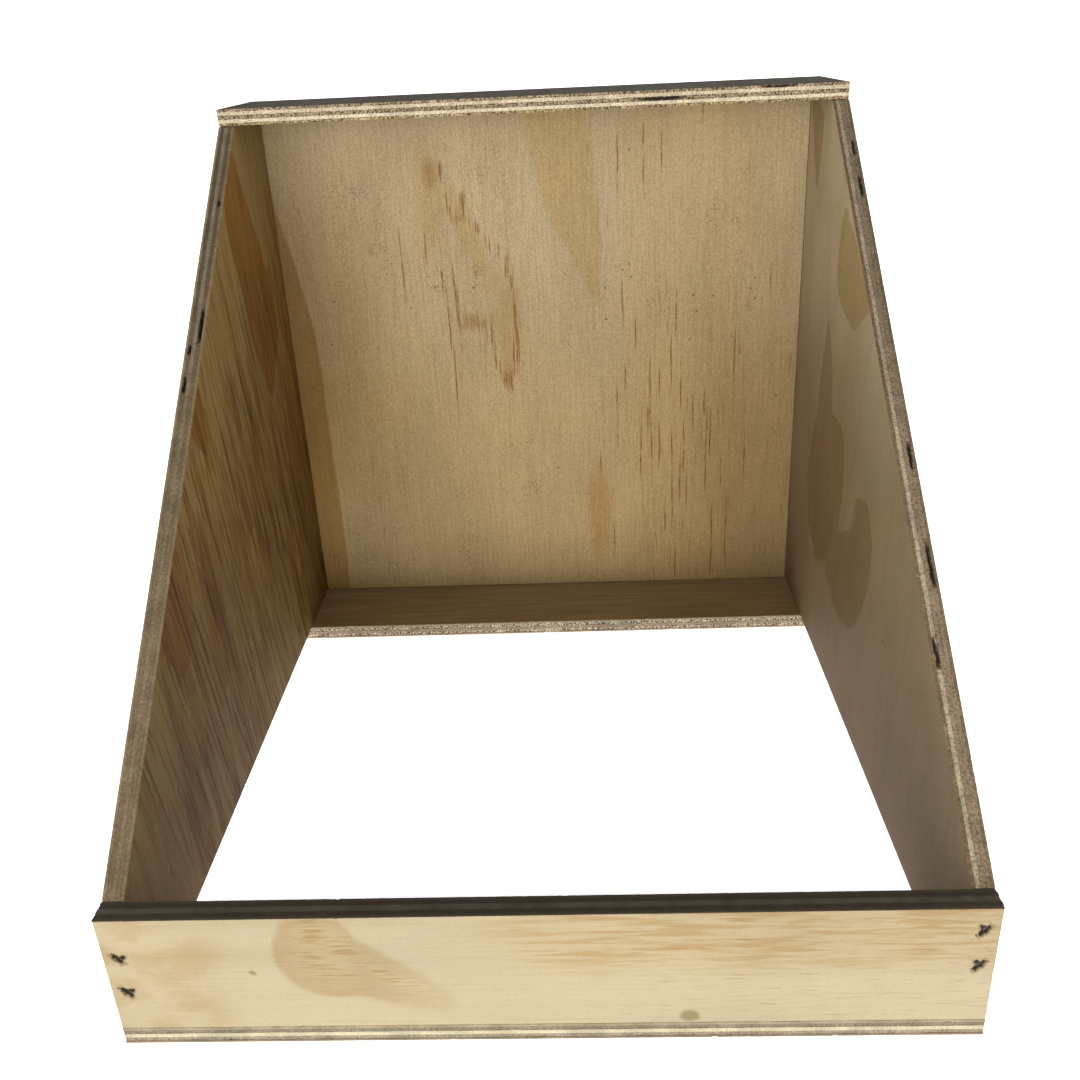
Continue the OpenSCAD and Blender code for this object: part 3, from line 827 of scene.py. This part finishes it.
# The front bottom board ties the two sides together at the front and carries the lip.
# Only its sawn front edge shows, as a line of layers under the lip.
low, high = [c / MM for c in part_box("front_bottom_board")]
shape = [(0.0, 0.0), (high.x - low.x, 0.0), (high.x - low.x, high.y - low.y), (0.0, high.y - low.y)]
marks = staples_on("front_board_staples", (0, 0, -1), RIGHTWARD, REARWARD, -1, low)
board = sawn_board("front_board_ply", shape, high.z - low.z, (RIGHTWARD, REARWARD, UPWARD), low,
                   (1.0, 0.0), pitch=1.0, staples=marks, seed=29.0)
face = Finish("front_board_veneer")
place = face.join(face.y, face.x, face.z)
colour, relief = face.veneer(place, tone(186, 166, 126), tone(168, 144, 100), tone(122, 96, 60))
colour = face.staple_wear(colour)
board.data.materials.append(face.dress(colour, relief, 0.15, 0.8))
board.data.materials.append(sawn_edge("front_board_sawn_edge", (
    tone(150, 134, 106), tone(166, 154, 130), tone(216, 204, 172), tone(150, 136, 112), tone(176, 160, 130)),
    tone(84, 72, 58), rough=0.35))
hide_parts("front_bottom_board")
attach(board, "root")


# The lip is a 60 mm strip across the front that keeps the litter in, stapled into the sides' front edges.
# It is the palest board, its fibres level, with an oval figure, and its top edge is painted near-black as painted
# shade.
low, high = lip_low, lip_high
shape = [(0.0, 0.0), (high.x - low.x, 0.0), (high.x - low.x, high.z - low.z), (0.0, high.z - low.z)]
marks = staples_on("lip_staples", (0, -1, 0), RIGHTWARD, UPWARD, -1, low)
board = sawn_board("lip_ply_strip", shape, high.y - low.y, (RIGHTWARD, UPWARD, REARWARD), low,
                   (1.0, 0.0), pitch=1.2, staples=marks, seed=37.0)
face = Finish("lip_veneer")
place = face.join(face.z, face.x, face.y)
colour, relief = face.veneer(place, tone(198, 183, 149), tone(190, 171, 132), tone(165, 137, 94),
                             ring_size=(22.0, 300.0, 50.0), rings=1.5, streaks=0.2, dots=0.1, sand=0.25)
wandering = face.waved(place, 1.5, (12.0, 30.0, 20.0))
figure = face.most([face.outline(wandering, [(69.0, -101.0), (54.5, -107.5), (43.0, -107.0), (33.5, -102.6),
                                             (26.5, -93.0), (24.5, -82.0), (26.0, -71.0), (33.6, -62.0),
                                             (69.0, -78.0)], 1.6, 9.0, 2.5, (4.0, 20.0)),
                    face.outline(wandering, [(27.0, -92.0), (24.0, -78.0), (20.5, -64.0), (16.0, -54.0),
                                             (13.7, -44.5), (17.6, -35.0), (24.0, -34.0), (33.6, -41.0),
                                             (42.0, -49.6), (51.5, -62.0), (62.0, -77.0), (64.0, -90.0)],
                                 2.4, 9.0, 2.5, (4.0, 20.0))])
faded = face.math("MULTIPLY", figure, face.step(face.x, -30.0, -75.0, 0.35, 1.0))
colour = face.patch(colour, faded, (0.84, 0.74, 0.63))
heart = face.most([face.outline(wandering, [(69.0, -95.0), (50.0, -99.0), (38.0, -93.0), (34.0, -84.0),
                                            (39.0, -72.0), (56.0, -74.0), (69.0, -82.0)], 7.0, 6.0, 5.0,
                                (1.5, 20.0)),
                   face.oval(wandering, (36.0, -60.0), (3.0, 16.0), 33.0, 0.9)])
colour = face.patch(colour, heart, (1.12, 1.20, 1.26), 0.8)
combed = face.step(face.noise(wandering, (1.1, 14.0, 5.0), 3.0, 6.0), 0.48, 0.64)
colour = face.patch(colour, face.math("MULTIPLY", heart, combed), (0.80, 0.66, 0.46), 0.9)
streak = face.step(face.noise(wandering, (2.4, 34.0, 5.0), 3.0, 6.0), 0.42, 0.62)
upper = face.math("MULTIPLY", face.step(face.z, 30.0, 50.0), face.step(face.x, -50.0, 20.0))
colour = face.patch(colour, upper, (0.96, 0.91, 0.84))
colour = face.patch(colour, face.math("MULTIPLY", streak, upper), (0.84, 0.70, 0.50), 0.8)
fine_streak = face.step(face.noise(wandering, (0.7, 14.0, 5.0), 2.0, 9.0), 0.6, 0.7)
rightward = face.step(face.x, 0.0, 60.0, 0.15, 1.0)
colour = face.patch(colour, face.math("MULTIPLY", fine_streak, rightward), (0.76, 0.62, 0.42), 0.7)
left_end = face.math("MULTIPLY", face.step(face.x, -118.0, -140.0), face.step(face.noise(
    wandering, (11.0, 18.0, 20.0), 3.0, 19.0), 0.38, 0.62, 0.25, 1.0))
colour = face.patch(colour, left_end, (0.88, 0.78, 0.68), 0.9)
knot = face.oval(wandering, (13.0, 57.5), (3.2, 3.8), 0.0, 0.4, 0.5)
colour = face.patch(colour, knot, (0.52, 0.50, 0.36), 0.9)
dot = face.oval(wandering, (40.0, -115.8), (1.0, 1.6), 30.0, 0.5)
colour = face.patch(colour, dot, (0.55, 0.55, 0.45), 0.9)
colour = face.staple_wear(colour)
board.data.materials.append(face.dress(colour, relief, 0.12, 0.65))
# The last setting of the edge paints shade near-black along the lip's top edge.
board.data.materials.append(sawn_edge("lip_sawn_edge", (
    tone(190, 172, 136), tone(150, 132, 104), tone(180, 162, 128), tone(146, 128, 100), tone(186, 168, 132)),
    tone(84, 68, 52), (high.z - 1.2, high.z - 0.4, tone(61, 53, 44), tone(88, 79, 68)), rough=0.4))
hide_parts("front_lip")
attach(board, "root")


# The staples are flat galvanised wire, bent square over a crown and driven in by an air gun.
# They hold every joint of the box, and each crown lies just under the wood's face.
wire_wide = 1.2
wire_thick = 1.0
bend_radius = 0.9
point_length = 1.6


def bent_wire(bm, crown_width, leg_length):
    """One staple with its crown's outer face at height 0 and its legs pointing down."""
    start = bmesh.ops.create_grid(bm, x_segments=1, y_segments=1, size=0.5)["verts"]
    bmesh.ops.scale(bm, verts=start, vec=(wire_thick, wire_wide, 1.0))
    half = (crown_width - wire_thick) / 2
    bmesh.ops.translate(bm, verts=start, vec=(-half, 0.0, -leg_length))
    face = [f for f in bm.faces if all(v in start for v in f.verts)][0]

    def push(face, vec):
        out = bmesh.ops.extrude_face_region(bm, geom=[face])["geom"]
        verts = [g for g in out if isinstance(g, bmesh.types.BMVert)]
        bmesh.ops.translate(bm, verts=verts, vec=vec)
        return [g for g in out if isinstance(g, bmesh.types.BMFace)][0]

    def turn(face, cent):
        geom = [face] + face.edges[:] + face.verts[:]
        out = bmesh.ops.spin(bm, geom=geom, cent=cent, axis=(0.0, 1.0, 0.0),
                             angle=math.radians(90), steps=5, use_merge=False)["geom_last"]
        return [g for g in out if isinstance(g, bmesh.types.BMFace)][0]

    bend_height = -(bend_radius + wire_thick / 2)
    face = push(face, (0.0, 0.0, leg_length + bend_height))
    face = turn(face, (-half + bend_radius, 0.0, bend_height))
    face = push(face, (2 * (half - bend_radius), 0.0, 0.0))
    face = turn(face, (half - bend_radius, 0.0, bend_height))
    push(face, (0.0, 0.0, -leg_length - bend_height))
    inner = [v for v in bm.verts if v.co.z < 0.001 - leg_length and abs(v.co.x) < half]
    bmesh.ops.translate(bm, verts=inner, vec=(0.0, 0.0, point_length))


wire = Finish("staple_wire")
scratch = wire.noise(wire.box, (0.5, 0.5, 0.5), 3.0)
stain = wire.noise(wire.box, (3.0, 3.0, 3.0), 2.0)
colour = wire.mix(wire.step(stain, 0.4, 0.65), tone(104, 98, 90), tone(58, 46, 36))
colour = wire.shade(colour, wire.step(scratch, 0.3, 0.7, 0.7, 1.1))
wire_finish = wire.dress(colour, scratch, 0.05, wire.step(stain, 0.3, 0.7, 0.4, 0.8))
wire.surface.inputs["Metallic"].default_value = 0.7

staple_groups = {
    "lip_staples": (0, -1, 0),
    "top_board_staples": (0, 0, 1),
    "rear_board_staples": (0, 0, -1),
    "front_board_staples": (0, 0, -1),
    "left_side_staples": (-1, 0, 0),
    "right_side_staples": (1, 0, 0),
}
for group, outward in staple_groups.items():
    bm = bmesh.new()
    for centre, along, length in driven_staples(group, outward):
        one = bmesh.new()
        bent_wire(one, 5.7, length)
        up = Vector(outward)
        place = Matrix((along, up.cross(along), up)).transposed().to_4x4()
        place.translation = centre
        bmesh.ops.transform(one, matrix=Matrix.Scale(MM, 4) @ place, verts=one.verts)
        bmesh.ops.recalc_face_normals(one, faces=one.faces)
        part = bpy.data.meshes.new("part")
        one.to_mesh(part)
        one.free()
        bm.from_mesh(part)
        bpy.data.meshes.remove(part)
    mesh = bpy.data.meshes.new(group + "_wire")
    bm.to_mesh(mesh)
    bm.free()
    mesh.materials.append(wire_finish)
    wires = bpy.data.objects.new(group + "_wire", mesh)
    bpy.context.scene.collection.objects.link(wires)
    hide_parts(group)
    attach(wires, "root")
